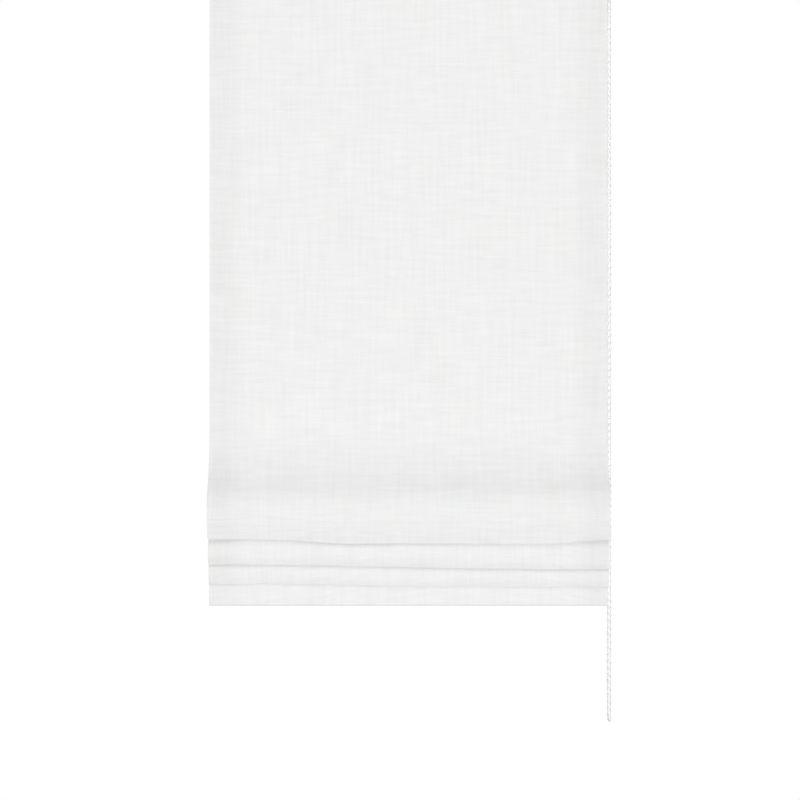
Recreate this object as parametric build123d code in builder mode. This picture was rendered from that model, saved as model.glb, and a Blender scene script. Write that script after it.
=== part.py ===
from build123d import *
import os
from math import atan2, cos, hypot, pi, sin, tan

# A flat Roman shade, partly raised: headrail, chain clutch, lift lines, ribs, folded cloth and bottom bar.
# Millimetres. +X is to the right seen from the room, -Y faces the room and +Z is up.
# The origin lies midway between the two bracket screw holes, on the plane the brackets are screwed to.

# Clearances and the overrun of every cut
fit_clearance = 0.3
running_clearance = 0.4
soft_clearance = 0.3
overrun = 10

# Mounting brackets: pressed spring clips
bracket_plate = 1.5
bracket_length = 32
bracket_inset = 110
screw_hole_radius = 2.25

# Headrail: an open-bottomed extrusion with clip grooves and a channel for the screw heads
rail_depth = 34
rail_height = 38
rail_wall = 1.5
rail_lip = 3
clip_groove_depth = 1.25
clip_groove_height = 2.5
clip_groove_drop = 7
screw_channel_width = 18
screw_channel_depth = 4.5

# Hook tape on the headrail and loop tape on the cloth
grip_tape_thickness = 1.5
grip_tape_height = 24
grip_tape_inset = 5
grip_tape_rise = 2

# Left end cap and the bush that carries the shaft in it
end_cap_plate = 4
end_cap_corner = 1.5
plug_length = 14
plug_wall = 2
bush_boss_radius = 8
bush_radius = 5.5
bush_length = 10
bush_floor = 1
bush_sides = 20

# Drive shaft
shaft_side = 6
shaft_y = -2.5
shaft_drop = 20.5
bore_clearance = 0.2

# Lift spools, their cradles and the lift cords
lift_inset = 120
lift_cord_radius = 0.7
lift_cord_sides = 6
spool_drum_radius = 9
spool_drum_width = 22
spool_flange_radius = 12
spool_sides = 16
spool_flange = 1.5
spool_journal_radius = 6
spool_journal_length = 3
cradle_wall = 2
cradle_base = 1.8
cradle_bearing_wall = 3
cradle_slot_length = 20
cradle_slot_width = 3.6

# Chain clutch: housing with a fixed core, brake spring, sprocket and cover
clutch_plate = 2.5
clutch_flange = 0.8
clutch_core_radius = 7.4
clutch_core_wall = 2.5
clutch_core_sides = 24
edge_gap = 0.5
spring_gap = 0.1
spring_wire = 1.2
spring_tang_reach = 1.6
sprocket_pockets = 8
sprocket_width = 6.8
sprocket_web = 1.5
tooth_rise = 1.3
tooth_gap = 1.2
cord_groove_width = 1.8
cord_groove_depth = 1
cover_wall = 1.4
cover_clearance = 0.6

# Bead chain: an endless loop of beads on a cord
bead_pitch = 12
bead_radius = 2.25
chain_cord_radius = 0.6
chain_side_gap = 5
strand_pitches = 108

# Shade cloth: one sheet, with tiers that show below each fold and a bend where it leaves the flat panel
shade_width = 700
shade_drop = 1124.8
cloth_thickness = 0.8
cloth_top_drop = 3
tier_heights = [44.5, 33, 36.3]
fold_height = 143
fold_reaches = [35.6, 22.6, 14.1]
fold_widths = [12.4, 7.6, 6.4]
fold_backsets = [9.6, 5, 4]
fold_belly_heights = [46, 20, 17]
fold_recesses = [4.5, 3.3]
fold_recess_heights = [48.5, 37]
bend_lead = 4
bend_height = 72
bend_fillet_shares = [0.7, 0.29]
hem_reach = 5.6
hem_recess = 2.4
hem_recess_height = 39
hem_front_height = 29.3
hem_width = 6
hem_height = 33
hem_turn = 6
fold_flat = 0.4

# Ribs: flat ribs on the panel, and the ribs that carry the stacked folds
flat_rib_rises = [428, 68]
stack_pitch = 16
fan_gap = 0.2
stack_fan_front_reaches = [19.6, 13.1, 6.6]
stack_fan_back_reaches = [16.6, 10.1, 3.6]
turn_width = 4.2
turn_rise = 1.8
rib_lean = 6.2
rib_lean_rise = 6
rib_inset = 5
rod_radius = 2
rod_sides = 8
rod_inset = 2
pocket_clearance = 0.15
pocket_wall = 0.65
pocket_strip = 0.7
pocket_strip_height = 7
loop_width = 7
loop_strip = 0.8
loop_height = 4
loop_room = 3

# Cord stops under the lowest rib
stop_radius = 4.5
stop_height = 9
stop_shoulder = 2
stop_sides = 8
stop_bore_depth = 6

# Bottom bar in the hem, with its end caps
bar_height = 25
bar_thickness = 3
bar_edge = 0.8
bar_cap_wall = 0.8
bar_cap_length = 12
bar_cap_inset = 2

os.makedirs("parts", exist_ok=True)

# Places worked out from the sizes above
half_width = shade_width / 2
half_depth = rail_depth / 2
rail_top_z = -bracket_plate
rail_bottom_z = rail_top_z - rail_height
lip_top_z = rail_bottom_z + rail_wall
wall_y = half_depth - rail_wall / 2
groove_y = wall_y - clip_groove_depth
groove_top_z = rail_top_z - clip_groove_drop
groove_bottom_z = groove_top_z - clip_groove_height
plug_top_z = groove_bottom_z - clip_groove_depth - rail_wall
plug_bottom_z = lip_top_z + fit_clearance
plug_half_depth = half_depth - rail_wall - fit_clearance
rail_left_x = -half_width
flange_x = half_width + edge_gap
rail_right_x = flange_x - clutch_plate
rail_length = rail_right_x - rail_left_x
shaft_z = -shaft_drop
bore_side = shaft_side + bore_clearance
cord_y = shaft_y - spool_drum_radius - lift_cord_radius - soft_clearance
cloth_back_y = -half_depth - 2 * grip_tape_thickness
cloth_y = cloth_back_y - cloth_thickness / 2
chain_x = half_width + chain_side_gap
chain_radius = sprocket_pockets * bead_pitch / (2 * pi)
sprocket_left_x = chain_x - sprocket_width / 2
sprocket_right_x = chain_x + sprocket_width / 2
fold_bottom_drops = [shade_drop - sum(tier_heights[level:]) for level in range(len(tier_heights))]
stack_top_drop = fold_bottom_drops[0] - fold_height
stack_drops = [stack_top_drop + level * stack_pitch for level in range(len(tier_heights))]
bracket_x = half_width - bracket_inset
lift_x = half_width - lift_inset
lift_lines = {"left": -lift_x, "right": lift_x}


def shaft_section(x):
    """The plane across the shaft at a station, centred on its axis, with local x along +Y."""
    return Plane(origin=(x, shaft_y, shaft_z), x_dir=(0, 1, 0), z_dir=(1, 0, 0))


# Mounting brackets
hook_z = (groove_top_z + groove_bottom_z) / 2
leg_y = half_depth + fit_clearance + bracket_plate / 2
hook_tip_y = groove_y + rail_wall / 2 + fit_clearance
plate_z = -bracket_plate / 2
for side, x in {"left": -bracket_x, "right": bracket_x}.items():
    with BuildPart() as bracket:
        with BuildSketch(Plane.YZ.offset(x - bracket_length / 2)):
            with BuildLine():
                Polyline((0, plate_z), (leg_y, plate_z), (leg_y, hook_z), (hook_tip_y, hook_z))
                mirror(about=Plane.YZ)
            trace(line_width=bracket_plate)
        extrude(amount=bracket_length)
        with Locations((x, 0, 0)):
            Hole(radius=screw_hole_radius)
    bracket.part.label = f"bracket_{side}"
    export_step(bracket.part, f"parts/bracket_{side}.step")

# Headrail
web_z = rail_top_z - rail_wall / 2
channel_y = screw_channel_width / 2
channel_z = web_z - screw_channel_depth
lip_z = rail_bottom_z + rail_wall / 2
with BuildPart() as headrail:
    with BuildSketch(Plane.YZ.offset(rail_left_x)):
        with BuildLine():
            Polyline(
                (0, channel_z),
                (channel_y, channel_z),
                (channel_y, web_z),
                (wall_y, web_z),
                (wall_y, groove_top_z + clip_groove_depth),
                (groove_y, groove_top_z),
                (groove_y, groove_bottom_z),
                (wall_y, groove_bottom_z - clip_groove_depth),
                (wall_y, lip_z),
                (half_depth - rail_lip, lip_z),
            )
            mirror(about=Plane.YZ)
        trace(line_width=rail_wall)
    extrude(amount=rail_length)
headrail.part.label = "headrail"
export_step(headrail.part, "parts/headrail.step")

# Hook tape glued to the rail, loop tape sewn to the cloth
tape_bottom_z = rail_bottom_z + grip_tape_rise
tape_length = shade_width - 2 * grip_tape_inset
tape_middle_z = tape_bottom_z + grip_tape_height / 2
with BuildPart() as hook_tape:
    with BuildSketch(Plane.XZ.offset(half_depth)):
        with Locations((0, tape_middle_z)):
            Rectangle(tape_length, grip_tape_height)
    extrude(amount=grip_tape_thickness)
hook_tape.part.label = "hook_tape"
export_step(hook_tape.part, "parts/hook_tape.step")

with BuildPart() as loop_tape:
    with BuildSketch(Plane.XZ.offset(half_depth + grip_tape_thickness)):
        with Locations((0, tape_middle_z)):
            Rectangle(tape_length, grip_tape_height)
    extrude(amount=grip_tape_thickness)
loop_tape.part.label = "loop_tape"
export_step(loop_tape.part, "parts/loop_tape.step")

# Left end cap: a plate over the rail's end, a hollow plug and a blind boss for the shaft bush
rail_middle_z = (rail_top_z + rail_bottom_z) / 2
plug_middle_z = (plug_top_z + plug_bottom_z) / 2
plug_height = plug_top_z - plug_bottom_z
bush_left_x = rail_left_x - end_cap_plate + bush_floor
bush_right_x = bush_left_x + bush_length
with BuildPart() as end_cap:
    with BuildSketch(Plane.YZ.offset(rail_left_x - end_cap_plate)):
        with Locations((0, rail_middle_z)):
            Rectangle(rail_depth, rail_height)
        chamfer(vertices(), length=end_cap_corner)
    extrude(amount=end_cap_plate)
    with BuildSketch(Plane.YZ.offset(rail_left_x)):
        with Locations((0, plug_middle_z)):
            Rectangle(2 * plug_half_depth, plug_height)
            Rectangle(2 * (plug_half_depth - plug_wall), plug_height - 2 * plug_wall, mode=Mode.SUBTRACT)
    extrude(amount=plug_length)
    with BuildSketch(shaft_section(rail_left_x)):
        RegularPolygon(bush_boss_radius, bush_sides)
    extrude(amount=bush_right_x - rail_left_x)
    with BuildSketch(shaft_section(bush_left_x)):
        RegularPolygon(bush_radius + bore_clearance, bush_sides, major_radius=False)
    extrude(amount=bush_length + overrun, mode=Mode.SUBTRACT)
end_cap.part.label = "end_cap"
export_step(end_cap.part, "parts/end_cap.step")

with BuildPart() as shaft_bush:
    with BuildSketch(shaft_section(bush_left_x + fit_clearance)):
        RegularPolygon(bush_radius, bush_sides)
        Rectangle(bore_side, bore_side, mode=Mode.SUBTRACT)
    extrude(amount=bush_length)
shaft_bush.part.label = "shaft_bush"
export_step(shaft_bush.part, "parts/shaft_bush.step")

# Drive shaft: a square rod from the bush to the sprocket's web
shaft_left_x = bush_left_x + 2 * fit_clearance
with BuildPart() as drive_shaft:
    with BuildSketch(shaft_section(shaft_left_x)):
        Rectangle(shaft_side, shaft_side)
    extrude(amount=sprocket_right_x - shaft_left_x)
drive_shaft.part.label = "drive_shaft"
export_step(drive_shaft.part, "parts/drive_shaft.step")

# Lift spools on the shaft, and the cradles that carry them on the rail's lips
drum_half = spool_drum_width / 2
flange_half = drum_half + spool_flange
journal_half = flange_half + spool_journal_length
with BuildPart() as lift_spools:
    for x in lift_lines.values():
        for radius, half_length in ((spool_drum_radius, drum_half), (spool_journal_radius, journal_half)):
            with BuildSketch(shaft_section(x)):
                RegularPolygon(radius, spool_sides)
            extrude(amount=half_length, both=True)
        for flange_start_x in (x - flange_half, x + drum_half):
            with BuildSketch(shaft_section(flange_start_x)):
                RegularPolygon(spool_flange_radius, spool_sides)
        extrude(amount=spool_flange)
    with BuildSketch(shaft_section(0)):
        Rectangle(bore_side, bore_side)
    extrude(amount=half_width, both=True, mode=Mode.SUBTRACT)
lift_spools.part.label = "lift_spools"
export_step(lift_spools.part, "parts/lift_spools.step")

cradle_inner = flange_half + running_clearance
cradle_outer = cradle_inner + cradle_wall
bearing_radius = spool_journal_radius + bore_clearance
bearing_outer_radius = bearing_radius + cradle_bearing_wall
with BuildPart() as spool_cradles:
    with BuildSketch(Plane.XY.offset(lip_top_z)):
        for x in lift_lines.values():
            with Locations((x, 0)):
                Rectangle(2 * cradle_outer, 2 * plug_half_depth)
            with Locations((x, cord_y)):
                Rectangle(cradle_slot_length, cradle_slot_width, mode=Mode.SUBTRACT)
    extrude(amount=cradle_base)
    for x in lift_lines.values():
        for wall_x in (x - cradle_outer, x + cradle_inner):
            with BuildSketch(shaft_section(wall_x)):
                with Locations((0, (lip_top_z - shaft_z) / 2)):
                    Rectangle(2 * bearing_outer_radius, shaft_z - lip_top_z)
                Circle(bearing_radius, mode=Mode.SUBTRACT)
    extrude(amount=cradle_wall)
spool_cradles.part.label = "spool_cradles"
export_step(spool_cradles.part, "parts/spool_cradles.step")

# Chain clutch housing: plug in the rail, end plate, flange behind the cover, and the fixed core
tooth_top_radius = chain_radius + tooth_rise
cover_inner_radius = chain_radius + bead_radius + cover_clearance
cover_radius = cover_inner_radius + cover_wall
cover_inner_x = sprocket_right_x + cover_clearance
cover_drop = max(cover_radius, shaft_z - rail_bottom_z)
core_end_x = sprocket_right_x - sprocket_web - running_clearance
flange_radius = cover_inner_radius - fit_clearance
with BuildPart() as clutch_housing:
    with BuildSketch(Plane.YZ.offset(rail_right_x)):
        with Locations((0, rail_middle_z)):
            Rectangle(rail_depth, rail_height)
        chamfer(vertices(), length=end_cap_corner)
    extrude(amount=clutch_plate)
    with BuildSketch(shaft_section(flange_x)):
        Circle(flange_radius)
        with Locations((0, -cover_drop / 2)):
            Rectangle(2 * flange_radius, cover_drop)
    extrude(amount=clutch_flange)
    with BuildSketch(shaft_section(flange_x)):
        RegularPolygon(clutch_core_radius, clutch_core_sides)
    extrude(amount=core_end_x - flange_x)
    with BuildSketch(Plane.YZ.offset(rail_right_x)):
        with Locations((0, plug_middle_z)):
            Rectangle(2 * plug_half_depth, plug_height)
            Rectangle(2 * (plug_half_depth - plug_wall), plug_height - 2 * plug_wall, mode=Mode.SUBTRACT)
    extrude(amount=-plug_length)
    with BuildSketch(shaft_section(rail_right_x - overrun)):
        RegularPolygon(clutch_core_radius - clutch_core_wall, clutch_core_sides, major_radius=False)
    extrude(amount=core_end_x - rail_right_x + 2 * overrun, mode=Mode.SUBTRACT)
clutch_housing.part.label = "clutch_housing"
export_step(clutch_housing.part, "parts/clutch_housing.step")

# Brake spring: a close-wound sleeve on the core, with a tang in the sprocket's slot
spring_inner_radius = clutch_core_radius + spring_gap
spring_radius = spring_inner_radius + spring_wire
spring_left_x = sprocket_left_x + running_clearance
with BuildPart() as brake_spring:
    with BuildSketch(shaft_section(spring_left_x)):
        RegularPolygon(spring_radius, clutch_core_sides)
        RegularPolygon(spring_inner_radius, clutch_core_sides, major_radius=False, mode=Mode.SUBTRACT)
    extrude(amount=core_end_x - spring_left_x)
    with BuildSketch(shaft_section(spring_left_x)):
        with Locations((0, spring_inner_radius + spring_wire / 2 + spring_tang_reach / 2)):
            Rectangle(spring_wire, spring_tang_reach + spring_wire / 2)
    extrude(amount=spring_wire)
brake_spring.part.label = "brake_spring"
export_step(brake_spring.part, "parts/brake_spring.step")

# Sprocket: a toothed cup over the spring, with a seat for each bead and a slot for the cord in each tooth
cup_radius = spring_radius + running_clearance
seat_radius = chain_radius - bead_radius - fit_clearance
slot_radius = chain_radius - cord_groove_depth
seat_half = bead_radius + fit_clearance
tooth_half = tooth_top_radius * sin(pi / sprocket_pockets) - seat_half - tooth_gap
with BuildPart() as chain_sprocket:
    with BuildSketch(shaft_section(sprocket_left_x)):
        RegularPolygon(seat_radius, sprocket_pockets, major_radius=False)
        with PolarLocations(0, sprocket_pockets):
            with Locations((tooth_top_radius / 2, 0)):
                Rectangle(tooth_top_radius, 2 * tooth_half)
        RegularPolygon(cup_radius, clutch_core_sides, major_radius=False, mode=Mode.SUBTRACT)
    extrude(amount=sprocket_width)
    with BuildSketch(shaft_section(sprocket_right_x - sprocket_web)):
        RegularPolygon(cup_radius, clutch_core_sides, major_radius=False)
        Rectangle(bore_side, bore_side, mode=Mode.SUBTRACT)
    extrude(amount=sprocket_web)
    with BuildSketch(shaft_section(chain_x - cord_groove_width / 2)):
        Circle(tooth_top_radius + overrun)
        Circle(slot_radius, mode=Mode.SUBTRACT)
    extrude(amount=cord_groove_width, mode=Mode.SUBTRACT)
    with BuildSketch(shaft_section(sprocket_left_x)):
        with Locations((0, cup_radius)):
            Rectangle(spring_wire + 2 * running_clearance, 2 * spring_tang_reach)
    extrude(amount=spring_wire + 2 * running_clearance, mode=Mode.SUBTRACT)
chain_sprocket.part.label = "chain_sprocket"
export_step(chain_sprocket.part, "parts/chain_sprocket.step")

# Clutch cover: an arched shell over the sprocket, open below for the two strands
with BuildPart() as clutch_cover:
    with BuildSketch(shaft_section(flange_x)):
        Circle(cover_radius)
        with Locations((0, -cover_drop / 2)):
            Rectangle(2 * cover_radius, cover_drop)
    extrude(amount=cover_inner_x + cover_wall - flange_x)
    with BuildSketch(shaft_section(flange_x - overrun)):
        Circle(cover_inner_radius)
        with Locations((0, -(cover_drop + overrun) / 2)):
            Rectangle(2 * cover_inner_radius, cover_drop + overrun)
    extrude(amount=cover_inner_x - flange_x + overrun, mode=Mode.SUBTRACT)
clutch_cover.part.label = "clutch_cover"
export_step(clutch_cover.part, "parts/clutch_cover.step")

# Bead chain: one endless loop of flat facets, with square beads moulded on a square cord
quarter_turn = pi * chain_radius / 2
strand_length = strand_pitches * bead_pitch
half_loop = 2 * quarter_turn + strand_length
chain_loop = 2 * half_loop
loop_z = shaft_z - strand_length


def chain_section(station):
    """The plane across the chain at a distance along it from the sprocket's top, front strand first."""
    side = -1 if station <= half_loop else 1
    from_top = min(station, chain_loop - station)
    if from_top < quarter_turn:
        turn = from_top / chain_radius
        place = (side * chain_radius * sin(turn), shaft_z + chain_radius * cos(turn))
        along = (-cos(turn), side * sin(turn))
    elif from_top < quarter_turn + strand_length:
        place = (side * chain_radius, shaft_z + quarter_turn - from_top)
        along = (0, side)
    else:
        turn = (from_top - quarter_turn - strand_length) / chain_radius
        place = (side * chain_radius * cos(turn), loop_z - chain_radius * sin(turn))
        along = (sin(turn), side * cos(turn))
    return Plane((chain_x, shaft_y + place[0], place[1]), x_dir=(1, 0, 0), z_dir=(0, *along))


chain_rings = []
for bead in range(round(chain_loop / bead_pitch)):
    section = chain_section((bead + 1 / 2) * bead_pitch)
    bead_halves = {-bead_radius: chain_cord_radius, 0: bead_radius, bead_radius: chain_cord_radius}
    for along, half in bead_halves.items():
        corners = ((-half, -half), (half, -half), (half, half), (-half, half))
        chain_rings.append([section.from_local_coords((x, y, along)) for x, y in corners])
chain_facets = []
for ring, next_ring in zip(chain_rings, chain_rings[1:] + chain_rings[:1]):
    for corner in range(len(ring)):
        outline = [ring[corner - 1], ring[corner], next_ring[corner], next_ring[corner - 1]]
        chain_facets.append(Face(Wire.make_polygon(outline)))
with BuildPart() as bead_chain:
    add(Solid(Shell(chain_facets)))
bead_chain.part.label = "bead_chain"
export_step(bead_chain.part, "parts/bead_chain.step")

# Shade cloth: flat panel, a forward bend, three folds hung from the stacked ribs, and the hem pocket.
# Each entry is a corner of the sheet's middle line as Y, Z and the radius that rounds it.
bend_start_z = bend_lead - stack_top_drop
bend_end_z = bend_start_z - bend_height
bend_leg = hypot(fold_reaches[0], bend_height)
bend_turn = atan2(fold_reaches[0], bend_height)
bend_radii = [share * bend_leg / tan(bend_turn / 2) for share in bend_fillet_shares]
fan_z = -stack_drops[-1] - turn_rise - pocket_strip_height - rib_lean_rise - fan_gap
cloth_line = [
    (cloth_y, -cloth_top_drop, 0),
    (cloth_y, bend_start_z, bend_radii[0]),
    (cloth_y - fold_reaches[0], bend_end_z, bend_radii[1]),
]
for level, stack_drop in enumerate(stack_drops):
    front_y = cloth_y - fold_reaches[level]
    back_y = front_y + fold_widths[level]
    fold_z = -fold_bottom_drops[level]
    fold_front_y = front_y + fold_backsets[level]
    fold_radius = (back_y - fold_front_y - fold_flat) / 2
    strip_top_z = -stack_drop - turn_rise
    strip_end_z = strip_top_z - pocket_strip_height
    cloth_line += [
        (front_y, fold_z + fold_belly_heights[level], 0),
        (fold_front_y, fold_z, fold_radius),
        (back_y, fold_z, fold_radius),
        (cloth_y - stack_fan_front_reaches[level], fan_z, 0),
        (cloth_y - turn_width, strip_top_z, 0),
        (cloth_y - turn_width / 2, -stack_drop, 0),
        (cloth_y, strip_top_z, 0),
        (cloth_y, strip_end_z, 0),
    ]
    if level + 1 < len(stack_drops):
        recess_y = cloth_y - fold_reaches[level + 1] + fold_recesses[level]
        recess_z = fold_recess_heights[level] - fold_bottom_drops[level + 1]
        cloth_line += [
            (cloth_y - rib_lean, strip_end_z - rib_lean_rise, 0),
            (cloth_y - stack_fan_back_reaches[level], fan_z, 0),
            (recess_y, recess_z, 0),
        ]
hem_front_y = cloth_y - hem_reach
hem_back_y = hem_front_y + hem_width
hem_bottom_z = -shade_drop
hem_top_z = hem_bottom_z + hem_height
hem_radius = (hem_width - fold_flat) / 2
hem_recess_y = hem_front_y + hem_recess
hem_stitch_y = hem_recess_y + cloth_thickness + soft_clearance
cloth_line += [
    (cloth_y - stack_fan_back_reaches[-1], fan_z, 0),
    (hem_recess_y, hem_bottom_z + hem_recess_height, 0),
    (hem_front_y, hem_bottom_z + hem_front_height, 0),
    (hem_front_y, hem_bottom_z, hem_radius),
    (hem_back_y, hem_bottom_z, hem_radius),
    (hem_back_y, hem_top_z, 0),
    (hem_stitch_y, hem_top_z + hem_turn, 0),
]
cloth_corners = [(y, z) for y, z, radius in cloth_line]
cloth_radii = [radius for y, z, radius in cloth_line[1:-1]]
with BuildPart() as shade_cloth:
    with BuildSketch(Plane.YZ.offset(-half_width)):
        with BuildLine():
            FilletPolyline(*cloth_corners, radius=cloth_radii)
        trace(line_width=cloth_thickness)
    extrude(amount=shade_width)
shade_cloth.part.label = "shade_cloth"
export_step(shade_cloth.part, "parts/shade_cloth.step")

# Ribs: a glass-fibre rod in a woven pocket tape, which has a loop for each lift cord
rod_hole_radius = rod_radius + pocket_clearance
pocket_radius_out = rod_hole_radius + pocket_wall
strip_y = cloth_back_y + soft_clearance
rod_y = strip_y + pocket_strip / 2 + pocket_radius_out
loop_back_y = cord_y + loop_room / 2 + loop_strip
loop_front_y = rod_y + pocket_radius_out / 2
rib_half = half_width - rib_inset
rod_half = rib_half - rod_inset
strip_below_turn = turn_rise + pocket_strip_height / 2
rib_drops = [stack_top_drop - rise for rise in flat_rib_rises]
rib_drops += [drop + strip_below_turn for drop in stack_drops]
for number, drop in enumerate(rib_drops, start=1):
    with BuildPart() as rib_tape:
        with BuildSketch(Plane.YZ.offset(-rib_half)):
            with Locations((strip_y + pocket_strip / 2, -drop)):
                Rectangle(pocket_strip, pocket_strip_height)
            with Locations((rod_y, -drop)):
                RegularPolygon(pocket_radius_out, rod_sides)
        extrude(amount=2 * rib_half)
        with BuildSketch(Plane.XY.offset(-drop - loop_height / 2)):
            for x in lift_lines.values():
                with Locations((x, (loop_front_y + loop_back_y) / 2)):
                    Rectangle(loop_width, loop_back_y - loop_front_y)
                with Locations((x, cord_y)):
                    Rectangle(loop_width - 2 * loop_strip, loop_room, mode=Mode.SUBTRACT)
        extrude(amount=loop_height)
        with BuildSketch(Plane.YZ.offset(-rib_half - overrun)):
            with Locations((rod_y, -drop)):
                RegularPolygon(rod_hole_radius, rod_sides)
        extrude(amount=2 * (rib_half + overrun), mode=Mode.SUBTRACT)
    rib_tape.part.label = f"rib_tape_{number}"
    export_step(rib_tape.part, f"parts/rib_tape_{number}.step")

    with BuildPart() as rib_rod:
        with BuildSketch(Plane.YZ.offset(-rod_half)):
            with Locations((rod_y, -drop)):
                RegularPolygon(rod_radius, rod_sides)
        extrude(amount=2 * rod_half)
    rib_rod.part.label = f"rib_rod_{number}"
    export_step(rib_rod.part, f"parts/rib_rod_{number}.step")

# Lift cords and the stops they end in, under the lowest rib
stop_top_z = -rib_drops[-1] - loop_height / 2 - soft_clearance
stop_bore_radius = lift_cord_radius + soft_clearance
cord_end_z = stop_top_z - stop_bore_depth + soft_clearance
for side, x in lift_lines.items():
    with BuildPart() as lift_cord:
        with BuildSketch(Plane.XY.offset(cord_end_z)):
            with Locations((x, cord_y)):
                RegularPolygon(lift_cord_radius, lift_cord_sides)
        extrude(amount=shaft_z - cord_end_z)
    lift_cord.part.label = f"lift_cord_{side}"
    export_step(lift_cord.part, f"parts/lift_cord_{side}.step")

    with BuildPart() as cord_stop:
        with BuildSketch(Plane.XY.offset(stop_top_z)):
            with Locations((x, cord_y)):
                RegularPolygon(stop_radius, stop_sides)
        extrude(amount=-stop_height)
        ends = edges().group_by(Axis.Z)
        chamfer(ends[0] + ends[-1], length=stop_shoulder)
        with BuildSketch(Plane.XY.offset(stop_top_z)):
            with Locations((x, cord_y)):
                RegularPolygon(stop_bore_radius, stop_sides)
        extrude(amount=-stop_bore_depth, mode=Mode.SUBTRACT)
    cord_stop.part.label = f"cord_stop_{side}"
    export_step(cord_stop.part, f"parts/cord_stop_{side}.step")

# Bottom bar and its end caps, in the hem pocket
bar_y = (hem_front_y + hem_back_y) / 2
cap_bottom_z = hem_bottom_z + cloth_thickness / 2 + hem_radius / 2 + soft_clearance
bar_bottom_z = cap_bottom_z + bar_cap_wall
bar_middle_z = bar_bottom_z + bar_height / 2
cap_half = half_width - bar_cap_inset
bar_half = cap_half - bar_cap_wall
with BuildPart() as bottom_bar:
    with BuildSketch(Plane.YZ.offset(-bar_half)):
        with Locations((bar_y, bar_middle_z)):
            Rectangle(bar_thickness, bar_height)
        chamfer(vertices(), length=bar_edge)
    extrude(amount=2 * bar_half)
bottom_bar.part.label = "bottom_bar"
export_step(bottom_bar.part, "parts/bottom_bar.step")

for side, end_x, inwards in (("left", -cap_half, 1), ("right", cap_half, -1)):
    with BuildPart() as bar_cap:
        with BuildSketch(Plane.YZ.offset(end_x)):
            with Locations((bar_y, bar_middle_z)):
                Rectangle(bar_thickness + 2 * bar_cap_wall, bar_height + 2 * bar_cap_wall)
            chamfer(vertices(), length=bar_edge)
        extrude(amount=inwards * bar_cap_length)
        with BuildSketch(Plane.YZ.offset(end_x + inwards * bar_cap_wall)):
            with Locations((bar_y, bar_middle_z)):
                Rectangle(bar_thickness, bar_height)
            chamfer(vertices(), length=bar_edge)
        extrude(amount=inwards * (bar_cap_length + overrun), mode=Mode.SUBTRACT)
    bar_cap.part.label = f"bar_cap_{side}"
    export_step(bar_cap.part, f"parts/bar_cap_{side}.step")
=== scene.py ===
# A flat linen Roman shade, partly raised: headrail and chain clutch at the top, a plain panel,
# three hanging folds and a weighted hem. Metres, with +Z up and -Y towards the room.
import math

import bmesh
import bpy
from mathutils import Matrix, Vector, noise


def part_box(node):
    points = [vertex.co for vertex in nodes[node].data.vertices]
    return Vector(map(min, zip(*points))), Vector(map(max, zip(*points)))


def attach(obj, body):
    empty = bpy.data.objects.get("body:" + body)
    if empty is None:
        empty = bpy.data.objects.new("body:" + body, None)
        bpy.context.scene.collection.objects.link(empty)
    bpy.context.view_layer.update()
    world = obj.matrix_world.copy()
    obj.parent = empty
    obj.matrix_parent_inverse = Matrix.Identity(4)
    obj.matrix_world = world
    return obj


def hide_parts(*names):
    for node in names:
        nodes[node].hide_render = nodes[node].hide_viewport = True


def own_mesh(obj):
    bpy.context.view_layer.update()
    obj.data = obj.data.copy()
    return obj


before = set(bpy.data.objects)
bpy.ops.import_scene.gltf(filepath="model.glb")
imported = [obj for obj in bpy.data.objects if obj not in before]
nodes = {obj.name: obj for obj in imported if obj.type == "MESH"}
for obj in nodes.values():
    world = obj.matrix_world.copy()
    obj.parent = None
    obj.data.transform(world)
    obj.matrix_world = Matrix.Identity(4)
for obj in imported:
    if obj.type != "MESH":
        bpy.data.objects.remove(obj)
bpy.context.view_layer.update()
scene = bpy.context.scene


# Mounting brackets: two pressed spring clips of zinc-plated steel, screwed up against the head of
# the opening. The rail snaps up into their hooked legs.
def new_material(name):
    """A material with its node tree and its Principled shader."""
    material = bpy.data.materials.new(name)
    material.use_nodes = True
    return material, material.node_tree, material.node_tree.nodes["Principled BSDF"]


def add_node(tree, kind, sockets=None, **settings):
    """A shader node, with settings on the node and values or links on its input sockets."""
    node = tree.nodes.new(kind)
    for key, value in settings.items():
        setattr(node, key, value)
    for key, value in (sockets or {}).items():
        if isinstance(value, bpy.types.NodeSocket):
            tree.links.new(value, node.inputs[key])
        else:
            node.inputs[key].default_value = value
    return node


def new_group(name, inputs, outputs):
    """An empty shader node group with named sockets, and its input and output nodes."""
    group = bpy.data.node_groups.new(name, "ShaderNodeTree")
    for label, kind, value in inputs:
        socket = group.interface.new_socket(label, in_out="INPUT", socket_type=kind)
        if value is not None:
            socket.default_value = value
    for label, kind in outputs:
        group.interface.new_socket(label, in_out="OUTPUT", socket_type=kind)
    return group, group.nodes.new("NodeGroupInput"), group.nodes.new("NodeGroupOutput")


def place_group(tree, group, **values):
    """A group node in a material, with its own values or links."""
    node = tree.nodes.new("ShaderNodeGroup")
    node.node_tree = group
    for key, value in values.items():
        socket = node.inputs[key.replace("_", " ").title()]
        if isinstance(value, bpy.types.NodeSocket):
            tree.links.new(value, socket)
        else:
            socket.default_value = value
    return node


def maths(tree, operation, *values):
    """The result of a maths node on one or two values or links."""
    return add_node(tree, "ShaderNodeMath", dict(enumerate(values)), operation=operation).outputs[0]


def mapped(tree, value, low, high, to_low, to_high):
    """A link scaled from one range to another."""
    ends = {"From Min": low, "From Max": high, "To Min": to_low, "To Max": to_high}
    return add_node(tree, "ShaderNodeMapRange", {"Value": value, **ends}).outputs[0]


def dress(node_names, material):
    """Gives a finish to solids that keep their own shape."""
    for name in node_names:
        nodes[name].data.materials.clear()
        nodes[name].data.materials.append(material)


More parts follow.
